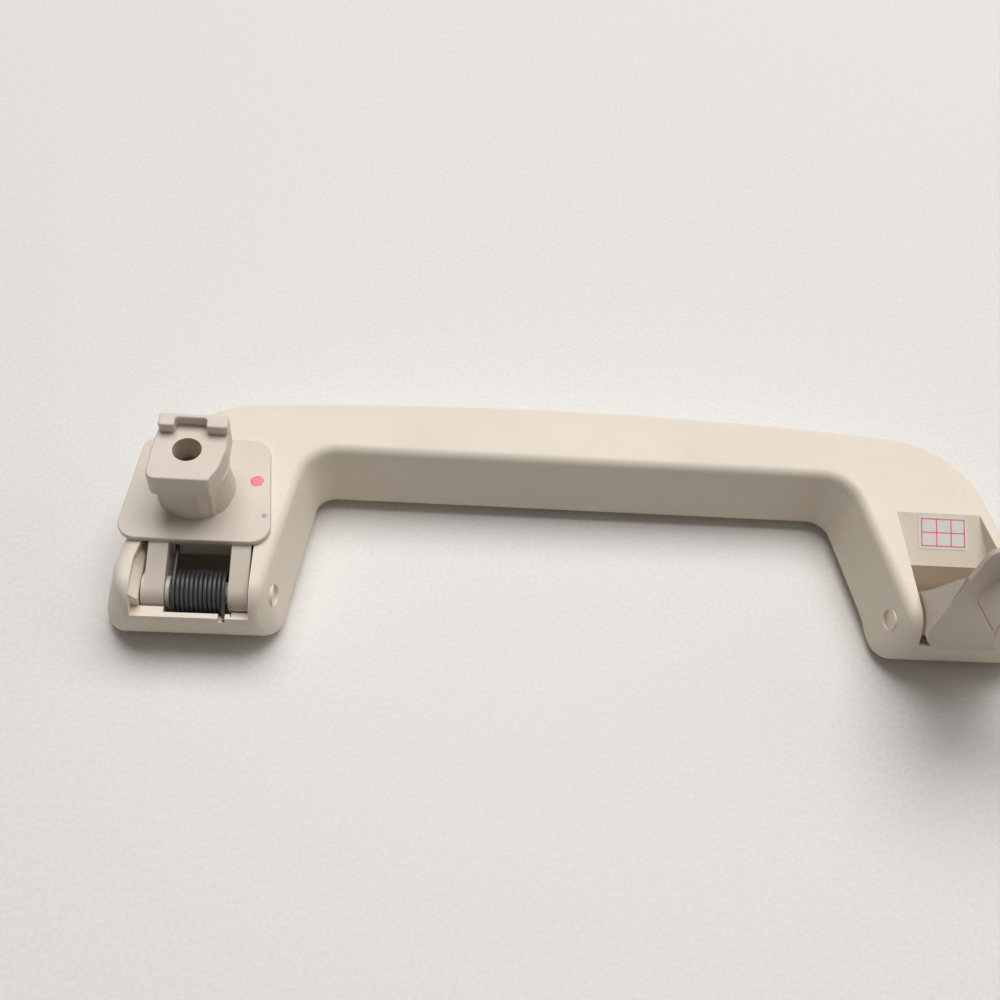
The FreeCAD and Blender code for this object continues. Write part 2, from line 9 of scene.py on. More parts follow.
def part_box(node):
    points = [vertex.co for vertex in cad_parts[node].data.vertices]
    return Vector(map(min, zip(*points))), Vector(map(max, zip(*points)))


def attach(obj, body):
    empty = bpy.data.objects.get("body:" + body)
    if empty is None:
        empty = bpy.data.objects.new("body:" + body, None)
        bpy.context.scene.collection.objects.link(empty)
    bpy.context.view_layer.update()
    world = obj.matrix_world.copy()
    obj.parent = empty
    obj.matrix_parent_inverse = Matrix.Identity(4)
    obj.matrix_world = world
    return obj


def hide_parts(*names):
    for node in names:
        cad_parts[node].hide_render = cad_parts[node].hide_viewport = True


bl_info = {
    "name": "Roof grab handle",
    "version": (1, 0, 0),
    "blender": (4, 5, 0),
    "location": "3D View > Sidebar > Grab handle",
    "description": "Dresses the moulded roof grab handle with its finishes, spring, paint dots and label",
    "category": "Object",
}

MM = 0.001
MERGE_GAP = 0.0005 * MM
FACE_GAP = 0.001 * MM
CUT_GAP = 0.0001 * MM
LEAST_LEAN = 0.0001
SMOOTH_DEG = 32
FOOT_LEVELS = 10
RING_STEPS = 96
RULE_SHARES = (0.34, 0.67)
BLACK = (0.0, 0.0, 0.0, 1.0)
WHITE = (1.0, 1.0, 1.0, 1.0)
SPECK_SHADE = (0.93, 0.925, 0.92, 1.0)
DAYLIGHT = (0.98, 0.99, 1.0, 1.0)

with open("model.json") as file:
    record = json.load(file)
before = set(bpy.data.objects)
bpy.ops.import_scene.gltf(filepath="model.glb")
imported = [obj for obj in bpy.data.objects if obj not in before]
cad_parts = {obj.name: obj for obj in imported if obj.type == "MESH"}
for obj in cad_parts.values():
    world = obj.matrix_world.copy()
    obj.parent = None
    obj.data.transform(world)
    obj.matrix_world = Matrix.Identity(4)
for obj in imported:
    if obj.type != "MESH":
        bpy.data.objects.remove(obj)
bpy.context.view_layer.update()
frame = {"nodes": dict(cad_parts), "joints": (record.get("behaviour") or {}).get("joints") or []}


def joint_named(name):
    """The record's joint with this name."""
    for joint in frame["joints"]:
        if joint["name"] == name:
            return joint
    raise RuntimeError("the frame has no joint " + name)


HINGE = Vector(joint_named("left_hinge")["pos_m"])


# Settings that a user would change

class HandleColours(bpy.types.PropertyGroup):
    """Base colours of the handle's finishes."""

    body: bpy.props.FloatVectorProperty(
        name="Body plastic", description="Beige of the moulded handle",
        default=(0.812, 0.720, 0.600), subtype="COLOR", min=0.0, max=1.0)
    bracket: bpy.props.FloatVectorProperty(
        name="Bracket plastic", description="Greyer beige of the two brackets",
        default=(0.700, 0.610, 0.518), subtype="COLOR", min=0.0, max=1.0)
    bush: bpy.props.FloatVectorProperty(
        name="Bush plastic", description="Natural acetal of the spring's bush",
        default=(0.640, 0.620, 0.570), subtype="COLOR", min=0.0, max=1.0)
    spring: bpy.props.FloatVectorProperty(
        name="Spring steel", description="Oiled black finish of the torsion spring",
        default=(0.058, 0.055, 0.056), subtype="COLOR", min=0.0, max=1.0)
    pin: bpy.props.FloatVectorProperty(
        name="Pin steel", description="Bright drawn steel of the hinge pins",
        default=(0.560, 0.555, 0.545), subtype="COLOR", min=0.0, max=1.0)
    damper: bpy.props.FloatVectorProperty(
        name="Damper plastic", description="Grey-green plastic of the damper's barrel and cap",
        default=(0.140, 0.150, 0.140), subtype="COLOR", min=0.0, max=1.0)
    rotor: bpy.props.FloatVectorProperty(
        name="Rotor plastic", description="White plastic of the damper's rotor",
        default=(0.680, 0.675, 0.655), subtype="COLOR", min=0.0, max=1.0)
    seal: bpy.props.FloatVectorProperty(
        name="Seal rubber", description="Black rubber of the damper's ring",
        default=(0.020, 0.020, 0.021), subtype="COLOR", min=0.0, max=1.0)
    paper: bpy.props.FloatVectorProperty(
        name="Label paper", description="Off-white paper of the inspection label",
        default=(0.830, 0.810, 0.780), subtype="COLOR", min=0.0, max=1.0)
    paint: bpy.props.FloatVectorProperty(
        name="Paint dot", description="Pink-red of the inspector's paint dot and of the label's rules",
        default=(0.930, 0.180, 0.230), subtype="COLOR", min=0.0, max=1.0)
    grey_paint: bpy.props.FloatVectorProperty(
        name="Small dot", description="Grey-brown of the small dot",
        default=(0.420, 0.370, 0.350), subtype="COLOR", min=0.0, max=1.0)


class HandleSizes(bpy.types.PropertyGroup):
    """Sizes of what this scene adds to the frame or dresses in it."""

    wire_radius: bpy.props.FloatProperty(
        name="Wire radius", description="Radius of the spring's wire",
        default=0.55 * MM, unit="LENGTH", precision=5)
    coil_radius: bpy.props.FloatProperty(
        name="Coil radius", description="Radius of the spring's coil at the middle of the wire",
        default=5.1 * MM, unit="LENGTH", precision=5)
    coil_pitch: bpy.props.FloatProperty(
        name="Coil pitch", description="Advance of the coil in one turn",
        default=1.12 * MM, unit="LENGTH", precision=5)
    coil_turns: bpy.props.IntProperty(
        name="Coil turns", description="Whole turns of the coil before the legs take their share",
        default=11, min=1)
    front_leg_rise: bpy.props.FloatProperty(
        name="Front leg rise", description="Height of the front leg's tip above the hinge axis",
        default=0.3 * MM, unit="LENGTH", precision=5)
    made_foot_radius: bpy.props.FloatProperty(
        name="Frame edge", description="Radius of the edge next to the flat face in the frame",
        default=3.0 * MM, unit="LENGTH", precision=5)
    foot_radius: bpy.props.FloatProperty(
        name="Soft edge", description="Radius of the edge next to the flat face in the finished moulding",
        default=6.0 * MM, unit="LENGTH", precision=5)
    nose_zone: bpy.props.FloatProperty(
        name="Nose run", description="Length behind the hinge over which the soft edge fades in",
        default=10.0 * MM, unit="LENGTH", precision=5)
    boss_x: bpy.props.FloatProperty(
        name="Boss across", description="Distance of a boss's axis from the middle of the handle",
        default=102.75 * MM, unit="LENGTH", precision=5)
    boss_y: bpy.props.FloatProperty(
        name="Boss behind", description="Distance of a folded bracket's boss behind the hinge axis",
        default=25.5 * MM, unit="LENGTH", precision=5)
    plate_top: bpy.props.FloatProperty(
        name="Plate top", description="Height of a folded bracket's plate",
        default=22.5 * MM, unit="LENGTH", precision=5)
    head_low: bpy.props.FloatProperty(
        name="Head underside", description="Height of the underside of a folded bracket's head block",
        default=32.0 * MM, unit="LENGTH", precision=5)
    boss_foot_radius: bpy.props.FloatProperty(
        name="Boss at plate", description="Radius of the drafted boss at the plate",
        default=9.95 * MM, unit="LENGTH", precision=5)
    boss_neck_radius: bpy.props.FloatProperty(
        name="Boss at head", description="Radius of the drafted boss at the head block, which overhangs it",
        default=8.75 * MM, unit="LENGTH", precision=5)
    trim_reach: bpy.props.FloatProperty(
        name="Trim reach", description="Outer radius of the ring that trims the boss",
        default=12.0 * MM, unit="LENGTH", precision=5)
    trim_gap: bpy.props.FloatProperty(
        name="Trim gap", description="What the trimming ring leaves at the plate and at the head block",
        default=0.03 * MM, unit="LENGTH", precision=5)
    rib_start_deg: bpy.props.FloatProperty(
        name="Rib start", description="Direction of the rib's front side, in degrees",
        default=-76.0)
    rib_end_deg: bpy.props.FloatProperty(
        name="Rib end", description="Direction of the rib's back side, in degrees",
        default=-26.0)
    right_open_deg: bpy.props.FloatProperty(
        name="Right bracket open", description="Turn of the right bracket from folded, in degrees",
        default=84.0)
    dot_radius: bpy.props.FloatProperty(
        name="Dot radius", description="Radius of the inspector's paint dot",
        default=1.7 * MM, unit="LENGTH", precision=5)
    dot_height: bpy.props.FloatProperty(
        name="Dot height", description="Height of the dried drop of paint",
        default=0.12 * MM, unit="LENGTH", precision=5)
    dot_place: bpy.props.FloatVectorProperty(
        name="Dot place", description="Place of the paint dot across the handle and behind the hinge axis",
        default=(-87.7 * MM, 28.7 * MM), size=2, unit="LENGTH", precision=5)
    small_dot_place: bpy.props.FloatVectorProperty(
        name="Small dot place", description="Place of the small dot, measured like the paint dot's",
        default=(-84.7 * MM, 17.9 * MM), size=2, unit="LENGTH", precision=5)
    small_dot_share: bpy.props.FloatProperty(
        name="Small dot share", description="Radius of the small dot as a share of the paint dot's",
        default=0.4, min=0.0, max=1.0, subtype="FACTOR")
    paper_thickness: bpy.props.FloatProperty(
        name="Paper", description="Thickness of the label's paper",
        default=0.1 * MM, unit="LENGTH", precision=5)
    label_margin: bpy.props.FloatProperty(
        name="Label margin", description="Bare edge of the label outside its rules",
        default=0.7 * MM, unit="LENGTH", precision=5)
    rule_width: bpy.props.FloatProperty(
        name="Label rule", description="Width of the rules printed on the label",
        default=0.36 * MM, unit="LENGTH", precision=5)
    rule_height: bpy.props.FloatProperty(
        name="Ink height", description="Height of the printed rules above the paper",
        default=0.012 * MM, unit="LENGTH", precision=6)


class StageSettings(bpy.types.PropertyGroup):
    """Floor, lamps and camera."""

    floor_colour: bpy.props.FloatVectorProperty(
        name="Floor", description="Pale table top",
        default=(0.790, 0.765, 0.735), subtype="COLOR", min=0.0, max=1.0)
    key_power: bpy.props.FloatProperty(
        name="Key lamp", description="Power of the soft lamp above and behind the handle",
        default=125.0, min=0.0, unit="POWER")
    side_power: bpy.props.FloatProperty(
        name="Side lamp", description="Power of the soft lamp at the right",
        default=4.0, min=0.0, unit="POWER")
    key_place: bpy.props.FloatVectorProperty(
        name="Key place", description="Place of the key lamp",
        default=(0.30, 1.50, 3.15), subtype="TRANSLATION")
    key_size: bpy.props.FloatVectorProperty(
        name="Key size", description="Width and depth of the key lamp",
        default=(3.4, 2.4), size=2, unit="LENGTH")
    side_place: bpy.props.FloatVectorProperty(
        name="Side place", description="Place of the side lamp",
        default=(1.60, 0.30, 0.90), subtype="TRANSLATION")
    side_size: bpy.props.FloatVectorProperty(
        name="Side size", description="Width and depth of the side lamp",
        default=(1.2, 1.2), size=2, unit="LENGTH")
    floor_reach: bpy.props.FloatProperty(
        name="Floor reach", description="Distance from the middle of the floor to its sides",
        default=2.6, min=0.0, unit="LENGTH")
    sky_strength: bpy.props.FloatProperty(
        name="Room light", description="Strength of the even light of the room",
        default=0.10, min=0.0, subtype="FACTOR")
    lens: bpy.props.FloatProperty(
        name="Lens", description="Focal length in millimetres on a 36 mm sensor",
        default=41.158, min=1.0)
    camera_place: bpy.props.FloatVectorProperty(
        name="Camera place", description="Camera position",
        default=(-50.056 * MM, HINGE.y - 150.227 * MM, 267.427 * MM), subtype="TRANSLATION")
    camera_turn: bpy.props.FloatVectorProperty(
        name="Camera turn", description="Pitch below the horizon, turn to the right and roll of the camera",
        default=(0.941, 0.147, -0.167), subtype="EULER")


SETTINGS = {
    "handle_colours": HandleColours,
    "handle_sizes": HandleSizes,
    "handle_stage": StageSettings,
}


# Node trees of the finishes

def add_node(tree, kind, place, **values):
    """Adds a node and sets its attributes and, by name, its inputs."""
    node = tree.nodes.new(kind)
    node.location = place
    for key, value in values.items():
        if hasattr(node, key):
            setattr(node, key, value)
        else:
            node.inputs[key.replace("_", " ")].default_value = value
    return node


def new_material(name):
    """An empty node material with its shader and output joined."""
    material = bpy.data.materials.new(name)
    material.use_nodes = True
    tree = material.node_tree
    tree.nodes.clear()
    output = add_node(tree, "ShaderNodeOutputMaterial", (700, 0))
    shader = add_node(tree, "ShaderNodeBsdfPrincipled", (420, 0))
    tree.links.new(shader.outputs["BSDF"], output.inputs["Surface"])
    return material, tree, shader


def shade(colour, factor):
    """The colour made lighter or darker, with full opacity."""
    return tuple(min(1.0, channel * factor) for channel in colour) + (1.0,)


def noise(tree, coordinates, scale, detail, place):
    """Noise on the piece's own coordinates, at a scale in cycles per metre."""
    node = add_node(tree, "ShaderNodeTexNoise", place, Scale=scale, Detail=detail, Roughness=0.55)
    tree.links.new(coordinates.outputs["Object"], node.inputs["Vector"])
    return node


def ramp(tree, source, low, high, dark, light, place):
    """Colours a value from dark to light between two limits."""
    node = add_node(tree, "ShaderNodeValToRGB", place)
    node.color_ramp.elements[0].position = low
    node.color_ramp.elements[0].color = dark
    node.color_ramp.elements[1].position = high
    node.color_ramp.elements[1].color = light
    tree.links.new(source, node.inputs["Fac"])
    return node


def spread(tree, source, low, high, place):
    """Maps a noise value to a range of roughness."""
    node = add_node(tree, "ShaderNodeMapRange", place)
    node.inputs["From Min"].default_value = 0.3
    node.inputs["From Max"].default_value = 0.7
    node.inputs["To Min"].default_value = low
    node.inputs["To Max"].default_value = high
    tree.links.new(source, node.inputs["Value"])
    return node


def moulded_plastic(name, colour, rough, grain_scale, grain_depth, mottle):
    """Moulded plastic: slow colour drift, spark-eroded grain, handling shine and rubbed edges."""
    material, tree, shader = new_material(name)
    coordinates = add_node(tree, "ShaderNodeTexCoord", (-1200, 0))
    drift = noise(tree, coordinates, 28.0, 3.0, (-950, 250))
    tint = ramp(tree, drift.outputs["Fac"], 0.30, 0.72,
                shade(colour, 1.0 - mottle), shade(colour, 1.0 + mottle), (-700, 250))
    specks = noise(tree, coordinates, grain_scale * 0.5, 2.0, (-950, 30))
    speck_tint = ramp(tree, specks.outputs["Fac"], 0.32, 0.62, SPECK_SHADE, WHITE, (-700, 30))
    speckled = add_node(tree, "ShaderNodeMix", (-380, 200), data_type="RGBA", blend_type="MULTIPLY")
    speckled.inputs["Factor"].default_value = 0.6
    tree.links.new(tint.outputs["Color"], speckled.inputs["A"])
    tree.links.new(speck_tint.outputs["Color"], speckled.inputs["B"])
    geometry = add_node(tree, "ShaderNodeNewGeometry", (-950, -170))
    rubbed = ramp(tree, geometry.outputs["Pointiness"], 0.50, 0.62, BLACK, WHITE, (-700, -170))
    worn = add_node(tree, "ShaderNodeMix", (-120, 160), data_type="RGBA", blend_type="MIX")
    worn.inputs["B"].default_value = shade(colour, 1.10)
    amount = add_node(tree, "ShaderNodeMath", (-380, -60), operation="MULTIPLY")
    amount.inputs[1].default_value = 0.35
    tree.links.new(rubbed.outputs["Color"], amount.inputs[0])
    tree.links.new(amount.outputs["Value"], worn.inputs["Factor"])
    tree.links.new(speckled.outputs["Result"], worn.inputs["A"])
    tree.links.new(worn.outputs["Result"], shader.inputs["Base Color"])
    handled = noise(tree, coordinates, 45.0, 2.0, (-950, -420))
    gloss = spread(tree, handled.outputs["Fac"], rough + 0.07, rough - 0.07, (-380, -300))
    tree.links.new(gloss.outputs["Result"], shader.inputs["Roughness"])
    grain = noise(tree, coordinates, grain_scale, 3.0, (-950, -640))
    bump = add_node(tree, "ShaderNodeBump", (120, -420), Strength=0.35, Distance=grain_depth)
    tree.links.new(grain.outputs["Fac"], bump.inputs["Height"])
    tree.links.new(bump.outputs["Normal"], shader.inputs["Normal"])
    shader.inputs["IOR"].default_value = 1.48
    return material


def drawn_metal(name, colour, rough, metallic, streak_scale):
    """Drawn wire or rod: fine lengthways streaks, oil patches and bright rubbed places."""
    material, tree, shader = new_material(name)
    coordinates = add_node(tree, "ShaderNodeTexCoord", (-1200, 0))
    patches = noise(tree, coordinates, 260.0, 3.0, (-950, 250))
    tint = ramp(tree, patches.outputs["Fac"], 0.30, 0.72,
                shade(colour, 0.75), shade(colour, 1.45), (-700, 250))
    tree.links.new(tint.outputs["Color"], shader.inputs["Base Color"])
    streaks = noise(tree, coordinates, streak_scale, 2.0, (-950, -60))
    gloss = spread(tree, streaks.outputs["Fac"], rough - 0.08, rough + 0.10, (-380, -60))
    tree.links.new(gloss.outputs["Result"], shader.inputs["Roughness"])
    bump = add_node(tree, "ShaderNodeBump", (120, -320), Strength=0.25, Distance=0.01 * MM)
    tree.links.new(streaks.outputs["Fac"], bump.inputs["Height"])
    tree.links.new(bump.outputs["Normal"], shader.inputs["Normal"])
    shader.inputs["Metallic"].default_value = metallic
    return material


def soft_film(name, colour, rough, fibre_scale, depth):
    """Paper, paint or rubber: fine fibres and a slightly uneven tone."""
    material, tree, shader = new_material(name)
    coordinates = add_node(tree, "ShaderNodeTexCoord", (-1200, 0))
    fibres = noise(tree, coordinates, fibre_scale, 4.0, (-950, 150))
    tint = ramp(tree, fibres.outputs["Fac"], 0.30, 0.72,
                shade(colour, 0.92), shade(colour, 1.05), (-700, 150))
    tree.links.new(tint.outputs["Color"], shader.inputs["Base Color"])
    gloss = spread(tree, fibres.outputs["Fac"], rough - 0.06, rough + 0.06, (-380, -60))
    tree.links.new(gloss.outputs["Result"], shader.inputs["Roughness"])
    bump = add_node(tree, "ShaderNodeBump", (120, -320), Strength=0.3, Distance=depth)
    tree.links.new(fibres.outputs["Fac"], bump.inputs["Height"])
    tree.links.new(bump.outputs["Normal"], shader.inputs["Normal"])
    return material


# Meshes

def put_material(piece, material):
    """Gives the piece this one material."""
    piece.data.materials.clear()
    piece.data.materials.append(material)


def linked(name, mesh):
    """An object with this mesh, at the origin."""
    piece = bpy.data.objects.new(name, mesh)
    bpy.context.scene.collection.objects.link(piece)
    return piece


def read_mesh(mesh):
    """A working copy of this mesh."""
    work = bmesh.new()
    work.from_mesh(mesh)
    return work


def write_mesh(work, mesh):
    """Stores the working copy in this mesh and lets it go."""
    work.to_mesh(mesh)
    work.free()
    return mesh


def new_piece(work, name):
    """An object of the working copy, at the origin."""
    return linked(name, write_mesh(work, bpy.data.meshes.new(name)))


def round_inset(radius, height):
    """How far a rounded foot edge of this radius stands back from the wall at this height."""
    rest = radius - min(max(height, 0.0), radius)
    return radius - math.sqrt(radius ** 2 - rest ** 2)


def outer_skin(work, height):
    """The vertices below this height that join on to the flat face, without those of the pockets."""
    found = {vert for vert in work.verts if vert.co.z < FACE_GAP}
    front = list(found)
    while front:
        vert = front.pop()
        for edge in vert.link_edges:
            other = edge.other_vert(vert)
            if other.co.z < height and other not in found:
                found.add(other)
                front.append(other)
    return found


def soften_foot(piece, sizes):
    """Rounds the edges next to the flat face, behind the noses, which have their own curve."""
    work = read_mesh(piece.data)
    for level in range(1, FOOT_LEVELS):
        height = sizes.foot_radius * (1 - math.cos(level * math.pi / 2 / FOOT_LEVELS))
        bmesh.ops.bisect_plane(work, geom=list(work.verts) + list(work.edges) + list(work.faces),
                               dist=CUT_GAP, plane_co=(0, 0, height), plane_no=(0, 0, 1))
    work.normal_update()
    skin = outer_skin(work, sizes.foot_radius)
    flat = {face for face in work.faces if all(vert.co.z < FACE_GAP for vert in face.verts)}
    moves = {}
    for vert in skin:
        walls = [face.normal for face in vert.link_faces if face not in flat]
        lean = Vector((sum(normal.x for normal in walls), sum(normal.y for normal in walls), 0))
        if lean.length < LEAST_LEAN:
            continue
        lean.normalize()
        height = vert.co.z
        made = round_inset(sizes.made_foot_radius, height)
        wide = round_inset(sizes.foot_radius, height)
        share = min(max((vert.co.y - HINGE.y) / sizes.nose_zone, 0.0), 1.0)
        moves[vert] = lean * (wide - made) * share * share * (3 - 2 * share)
    for vert, move in moves.items():
        vert.co -= move
    write_mesh(work, piece.data)


def fine_copy(node, name):
    """A copy of a node's mesh with its loose triangles joined."""
    work = read_mesh(frame["nodes"][node].data)
    bmesh.ops.remove_doubles(work, verts=work.verts, dist=MERGE_GAP)
    return new_piece(work, name)


def smooth_shallow(piece):
    """Shades a piece smooth across its shallow edges."""
    work = read_mesh(piece.data)
    limit = math.radians(SMOOTH_DEG)
    for face in work.faces:
        face.smooth = True
    for edge in work.edges:
        edge.smooth = len(edge.link_faces) == 2 and edge.calc_face_angle(math.pi) < limit
    write_mesh(work, piece.data)


def boss_trimmer(side, sizes):
    """An open ring round the boss, up to the head block, that leaves out the rib under the head's facet."""
    work = bmesh.new()
    first, last = math.radians(sizes.rib_end_deg), math.radians(360 + sizes.rib_start_deg)
    floor_z, roof_z = sizes.plate_top + sizes.trim_gap, sizes.head_low - sizes.trim_gap
    corners = ((sizes.boss_foot_radius, floor_z), (sizes.trim_reach, floor_z),
               (sizes.trim_reach, roof_z), (sizes.boss_neck_radius, roof_z))
    loops = []
    for step in range(RING_STEPS + 1):
        angle = first + (last - first) * step / RING_STEPS
        loops.append([work.verts.new((-sizes.boss_x + radius * math.cos(angle),
                                      HINGE.y + sizes.boss_y + radius * math.sin(angle), height))
                      for radius, height in corners])
    for one, two in zip(loops, loops[1:]):
        for i in range(4):
            j = (i + 1) % 4
            work.faces.new((one[i], one[j], two[j], two[i]))
    work.faces.new(loops[0])
    work.faces.new(loops[-1])
    if side == "right":
        swing = (Matrix.Translation(HINGE) @ Matrix.Rotation(math.radians(sizes.right_open_deg), 4, "X")
                 @ Matrix.Translation(-HINGE) @ Matrix.Scale(-1, 4, (1, 0, 0)))
        bmesh.ops.transform(work, matrix=swing, verts=work.verts)
    bmesh.ops.recalc_face_normals(work, faces=work.faces)
    return new_piece(work, side + "_trimmer")


def cut_away(piece, tool):
    """Cuts the tool out of the piece and deletes the tool."""
    modifier = piece.modifiers.new("cut", "BOOLEAN")
    modifier.operation = "DIFFERENCE"
    modifier.solver = "EXACT"
    modifier.object = tool
    mesh = bpy.data.meshes.new_from_object(piece.evaluated_get(bpy.context.evaluated_depsgraph_get()))
    piece.modifiers.remove(modifier)
    work = read_mesh(mesh)
    bmesh.ops.remove_doubles(work, verts=work.verts, dist=MERGE_GAP)
    piece.data = write_mesh(work, mesh)
    bpy.data.objects.remove(tool)


def finish_piece(piece, body, slot, material, *nodes):
    """Rides, stands for its nodes and takes its material; the slot is not used."""
    put_material(piece, material)
    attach(piece, body)
    if nodes:
        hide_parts(*nodes)


def droplet(work, centre, radius, height, normal, along, rings=5, sides=40):
    """A flat drop of paint on a surface, with an outline that isn't quite round."""
    across = normal.cross(along)
    loops = []
    for ring in range(rings):
        share = ring / rings
        reach = radius * math.cos(share * math.pi / 2)
        lift = height * math.sin(share * math.pi / 2)
        loop = []
        for side in range(sides):
            angle = 2 * math.pi * side / sides
            wobble = 1.0 + 0.035 * math.sin(2 * angle + 0.6) + 0.02 * math.sin(5 * angle)
            offset = (along * math.cos(angle) + across * math.sin(angle)) * reach * wobble
            loop.append(work.verts.new(centre + offset + normal * lift))
        loops.append(loop)
    top = work.verts.new(centre + normal * height)
    base = list(reversed(loops[0]))
    work.faces.new(base)
    for lower, upper in zip(loops, loops[1:]):
        for i in range(sides):
            j = (i + 1) % sides
            work.faces.new((lower[i], lower[j], upper[j], upper[i]))
    for i in range(sides):
        work.faces.new((loops[-1][i], loops[-1][(i + 1) % sides], top))


def strip(work, corner, along, across, normal, length, width, height):
    """A thin printed bar that lies on a surface."""
    corners = []
    for lift in (0.0, height):
        for step_along, step_across in ((0, 0), (length, 0), (length, width), (0, width)):
            place = corner + along * step_along + across * step_across + normal * lift
            corners.append(work.verts.new(place))
    for face in ((3, 2, 1, 0), (4, 5, 6, 7), (0, 1, 5, 4), (1, 2, 6, 5), (2, 3, 7, 6), (3, 0, 4, 7)):
        work.faces.new([corners[i] for i in face])


# Geometry nodes of the torsion spring

def spring_tree(material):
    """Coil of round wire with two straight legs, from named sizes."""
    tree = bpy.data.node_groups.new("torsion_spring_tree", "GeometryNodeTree")
    sockets = {}
    tree.interface.new_socket("Geometry", in_out="OUTPUT", socket_type="NodeSocketGeometry")
    for label, kind, default in (
            ("Turns", "NodeSocketFloat", 11.0),
            ("Coil radius", "NodeSocketFloat", 5.1 * MM),
            ("Coil length", "NodeSocketFloat", 12.0 * MM),
            ("Wire radius", "NodeSocketFloat", 0.55 * MM),
            ("Place", "NodeSocketVector", (0.0, 0.0, 0.0)),
            ("Turn", "NodeSocketRotation", None),
            ("Front leg tip", "NodeSocketVector", (0.0, 0.0, 0.0)),
            ("Front leg root", "NodeSocketVector", (0.0, 0.0, 0.0)),
            ("Rear leg root", "NodeSocketVector", (0.0, 0.0, 0.0)),
            ("Rear leg tip", "NodeSocketVector", (0.0, 0.0, 0.0))):
        socket = tree.interface.new_socket(label, in_out="INPUT", socket_type=kind)
        if default is not None:
            socket.default_value = default
        sockets[label] = socket.identifier
    given = add_node(tree, "NodeGroupInput", (-900, 0))
    spiral = add_node(tree, "GeometryNodeCurveSpiral", (-600, 200), Resolution=28, Reverse=True)
    tree.links.new(given.outputs["Turns"], spiral.inputs["Rotations"])
    tree.links.new(given.outputs["Coil radius"], spiral.inputs["Start Radius"])
    tree.links.new(given.outputs["Coil radius"], spiral.inputs["End Radius"])
    tree.links.new(given.outputs["Coil length"], spiral.inputs["Height"])
    placed = add_node(tree, "GeometryNodeTransform", (-380, 200))
    tree.links.new(spiral.outputs["Curve"], placed.inputs["Geometry"])
    tree.links.new(given.outputs["Place"], placed.inputs["Translation"])
    tree.links.new(given.outputs["Turn"], placed.inputs["Rotation"])
    section = add_node(tree, "GeometryNodeCurvePrimitiveCircle", (-380, -320), Resolution=14)
    tree.links.new(given.outputs["Wire radius"], section.inputs["Radius"])
    joined = add_node(tree, "GeometryNodeJoinGeometry", (-120, 60))
    tree.links.new(placed.outputs["Geometry"], joined.inputs["Geometry"])
    for height, start, end in (
            (-20, "Front leg tip", "Front leg root"),
            (-180, "Rear leg root", "Rear leg tip")):
        leg = add_node(tree, "GeometryNodeCurvePrimitiveLine", (-600, height))
        tree.links.new(given.outputs[start], leg.inputs["Start"])
        tree.links.new(given.outputs[end], leg.inputs["End"])
        tree.links.new(leg.outputs["Curve"], joined.inputs["Geometry"])
    swept = add_node(tree, "GeometryNodeCurveToMesh", (100, 60))
    swept.inputs["Fill Caps"].default_value = True
    tree.links.new(joined.outputs["Geometry"], swept.inputs["Curve"])
    tree.links.new(section.outputs["Curve"], swept.inputs["Profile Curve"])
    smooth = add_node(tree, "GeometryNodeSetShadeSmooth", (300, 60))
    tree.links.new(swept.outputs["Mesh"], smooth.inputs["Geometry"])
    real = add_node(tree, "GeometryNodeRealizeInstances", (480, 60))
    tree.links.new(smooth.outputs["Geometry"], real.inputs["Geometry"])
    dressed = add_node(tree, "GeometryNodeSetMaterial", (660, 60))
    dressed.inputs["Material"].default_value = material
    tree.links.new(real.outputs["Geometry"], dressed.inputs["Geometry"])
    given_out = add_node(tree, "NodeGroupOutput", (860, 60))
    tree.links.new(dressed.outputs["Geometry"], given_out.inputs["Geometry"])
    return tree, sockets


def mesh_from_tree(name, tree, sockets, values):
    """Runs a geometry tree once and keeps its result as a plain mesh."""
    carrier = linked(name, bpy.data.meshes.new(name + "_seed"))
    modifier = carrier.modifiers.new("shape", "NODES")
    modifier.node_group = tree
    for label, value in values.items():
        modifier[sockets[label]] = value
    graph = bpy.context.evaluated_depsgraph_get()
    mesh = bpy.data.meshes.new_from_object(carrier.evaluated_get(graph))
    carrier.modifiers.remove(modifier)
    carrier.data = mesh
    return carrier


# Operators

